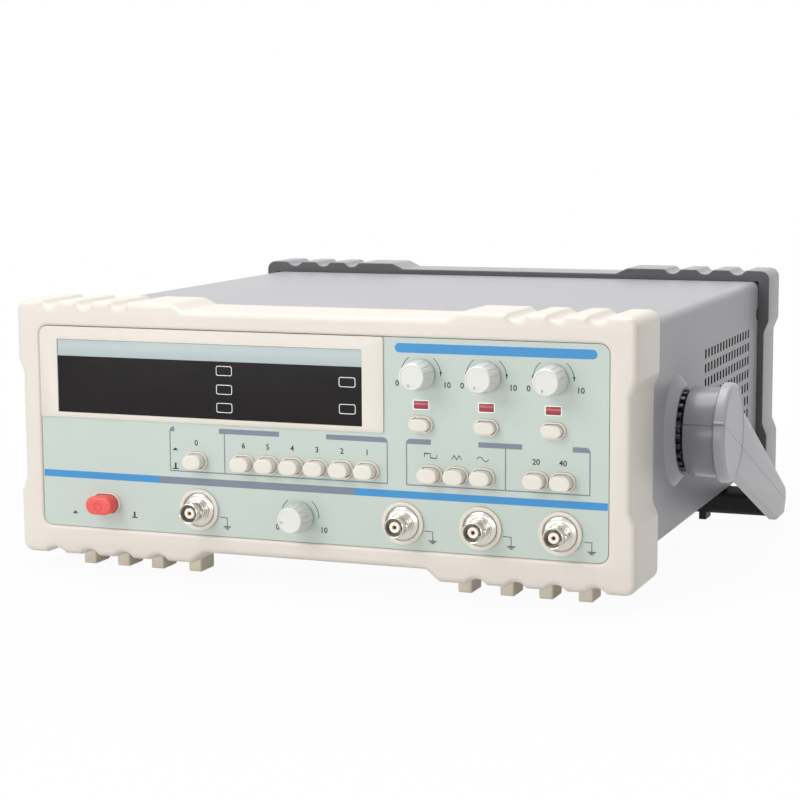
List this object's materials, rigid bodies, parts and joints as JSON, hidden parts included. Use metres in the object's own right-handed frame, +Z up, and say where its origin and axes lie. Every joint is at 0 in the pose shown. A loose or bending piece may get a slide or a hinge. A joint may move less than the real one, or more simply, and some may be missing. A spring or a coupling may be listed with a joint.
{
  "type": "function generator",
  "caption": "Bench function generator with moulded front and rear bezels, a panel of keys, knobs and coaxial jacks behind a display, and a tilting handle.",
  "frame": {"origin": "middle of the footprint, on the surface the feet stand on", "axes": "+X to the right seen from the front, +Y to the back, +Z up"},
  "size_m": [0.354, 0.3384, 0.132],
  "materials": {
    "bezel_cream": "fine moulded texture",
    "bezel_grey": "fine moulded texture",
    "overlay": "printed polycarbonate",
    "window": "smoked acrylic",
    "strip": "printed film",
    "cover": "powder coat",
    "plate": "zinc plated",
    "board": "solder mask",
    "digits": "moulded",
    "lens": "clear moulded",
    "steel": "plated",
    "core": "varnished",
    "winding": "taped",
    "alloy": "extruded",
    "can": "sleeved",
    "switch_black": "moulded",
    "nickel": "plated",
    "ptfe": "turned",
    "gold": "plated",
    "inlet_black": "moulded",
    "hub_grey": "moulded",
    "arm_grey": "moulded",
    "grip": "moulded",
    "knob": "moulded",
    "key": "moulded",
    "key_red": "moulded",
    "fuse_glass": "clear tube",
    "foot": "moulded"
  },
  "bodies": {
    "case": {"front_bezel": "bezel_cream", "control_panel": "bezel_cream", "panel_overlay": "overlay", "display_window": "window", "label_strip": "strip", "front_board": "board", "digit_modules": "digits", "indicator_lenses": "lens", "top_cover": "cover", "bottom_plate": "plate", "rear_bezel": "bezel_grey", "rear_panel": "cover", "feet": "foot", "main_board": "board", "screws": "steel", "transformer_core": "core", "transformer_winding": "winding", "heatsink": "alloy", "capacitors": "can", "potentiometers": "steel", "switch_banks": "switch_black", "jack_shells": "nickel", "jack_insulators": "ptfe", "jack_contacts": "gold", "panel_nuts": "steel", "mains_inlet": "inlet_black", "inlet_pins": "nickel", "detent_plates": "inlet_black", "pivot_pins": "steel"},
    "handle": {"hub_left": "hub_grey", "hub_right": "hub_grey", "arm_left": "arm_grey", "arm_right": "arm_grey", "handle_grip": "grip"},
    "frequency_dial": {"frequency_knob": "knob", "frequency_shaft": "steel"},
    "symmetry_dial": {"symmetry_knob": "knob", "symmetry_shaft": "steel"},
    "offset_dial": {"offset_knob": "knob", "offset_shaft": "steel"},
    "amplitude_dial": {"amplitude_knob": "knob", "amplitude_shaft": "steel"},
    "power": {"power_key": "key_red"},
    "external": {"external_key": "key"},
    "range_1": {"range_key_1": "key"},
    "range_2": {"range_key_2": "key"},
    "range_3": {"range_key_3": "key"},
    "range_4": {"range_key_4": "key"},
    "range_5": {"range_key_5": "key"},
    "range_6": {"range_key_6": "key"},
    "wave_1": {"wave_key_1": "key"},
    "wave_2": {"wave_key_2": "key"},
    "wave_3": {"wave_key_3": "key"},
    "atten_1": {"atten_key_1": "key"},
    "atten_2": {"atten_key_2": "key"},
    "level_1": {"level_key_1": "key"},
    "level_2": {"level_key_2": "key"},
    "level_3": {"level_key_3": "key"},
    "fuse_tray": {"fuse_drawer": "inlet_black", "fuse": "fuse_glass"}
  },
  "joints": [
    {"name": "handle_tilt", "type": "hinge", "parent": "case", "child": "handle", "pos_m": [0, -0.05625, 0.0684], "axis": [-1, 0, 0], "range_deg": [0, 305]},
    {"name": "frequency_turn", "type": "hinge", "parent": "case", "child": "frequency_dial", "pos_m": [-0.006, -0.15625, 0.0344], "axis": [0, 1, 0], "range_deg": [-56, 244]},
    {"name": "symmetry_turn", "type": "hinge", "parent": "case", "child": "symmetry_dial", "pos_m": [0.0544, -0.15625, 0.1034], "axis": [0, 1, 0], "range_deg": [0, 300]},
    {"name": "offset_turn", "type": "hinge", "parent": "case", "child": "offset_dial", "pos_m": [0.0856, -0.15625, 0.1034], "axis": [0, 1, 0], "range_deg": [0, 300]},
    {"name": "amplitude_turn", "type": "hinge", "parent": "case", "child": "amplitude_dial", "pos_m": [0.1168, -0.15625, 0.1034], "axis": [0, 1, 0], "range_deg": [0, 300]},
    {"name": "power_press", "type": "slide", "parent": "case", "child": "power", "axis": [0, 1, 0], "range_m": [0, 0.0035], "stiffness_N_per_m": 500, "springref_m": -0.001},
    {"name": "external_press", "type": "slide", "parent": "case", "child": "external", "axis": [0, 1, 0], "range_m": [0, 0.0035], "stiffness_N_per_m": 350, "springref_m": -0.001},
    {"name": "range_1_press", "type": "slide", "parent": "case", "child": "range_1", "axis": [0, 1, 0], "range_m": [0, 0.0035], "stiffness_N_per_m": 350, "springref_m": -0.001},
    {"name": "range_2_press", "type": "slide", "parent": "case", "child": "range_2", "axis": [0, 1, 0], "range_m": [0, 0.0035], "stiffness_N_per_m": 350, "springref_m": -0.001},
    {"name": "range_3_press", "type": "slide", "parent": "case", "child": "range_3", "axis": [0, 1, 0], "range_m": [0, 0.0035], "stiffness_N_per_m": 350, "springref_m": -0.001},
    {"name": "range_4_press", "type": "slide", "parent": "case", "child": "range_4", "axis": [0, 1, 0], "range_m": [0, 0.0035], "stiffness_N_per_m": 350, "springref_m": -0.001},
    {"name": "range_5_press", "type": "slide", "parent": "case", "child": "range_5", "axis": [0, 1, 0], "range_m": [0, 0.0035], "stiffness_N_per_m": 350, "springref_m": -0.001},
    {"name": "range_6_press", "type": "slide", "parent": "case", "child": "range_6", "axis": [0, 1, 0], "range_m": [0, 0.0035], "stiffness_N_per_m": 350, "springref_m": -0.001},
    {"name": "wave_1_press", "type": "slide", "parent": "case", "child": "wave_1", "axis": [0, 1, 0], "range_m": [0, 0.0035], "stiffness_N_per_m": 350, "springref_m": -0.001},
    {"name": "wave_2_press", "type": "slide", "parent": "case", "child": "wave_2", "axis": [0, 1, 0], "range_m": [0, 0.0035], "stiffness_N_per_m": 350, "springref_m": -0.001},
    {"name": "wave_3_press", "type": "slide", "parent": "case", "child": "wave_3", "axis": [0, 1, 0], "range_m": [0, 0.0035], "stiffness_N_per_m": 350, "springref_m": -0.001},
    {"name": "atten_1_press", "type": "slide", "parent": "case", "child": "atten_1", "axis": [0, 1, 0], "range_m": [0, 0.0035], "stiffness_N_per_m": 350, "springref_m": -0.001},
    {"name": "atten_2_press", "type": "slide", "parent": "case", "child": "atten_2", "axis": [0, 1, 0], "range_m": [0, 0.0035], "stiffness_N_per_m": 350, "springref_m": -0.001},
    {"name": "level_1_press", "type": "slide", "parent": "case", "child": "level_1", "axis": [0, 1, 0], "range_m": [0, 0.0035], "stiffness_N_per_m": 350, "springref_m": -0.001},
    {"name": "level_2_press", "type": "slide", "parent": "case", "child": "level_2", "axis": [0, 1, 0], "range_m": [0, 0.0035], "stiffness_N_per_m": 350, "springref_m": -0.001},
    {"name": "level_3_press", "type": "slide", "parent": "case", "child": "level_3", "axis": [0, 1, 0], "range_m": [0, 0.0035], "stiffness_N_per_m": 350, "springref_m": -0.001},
    {"name": "fuse_slide", "type": "slide", "parent": "case", "child": "fuse_tray", "axis": [0, 1, 0], "range_m": [0, 0.015]}
  ]
}
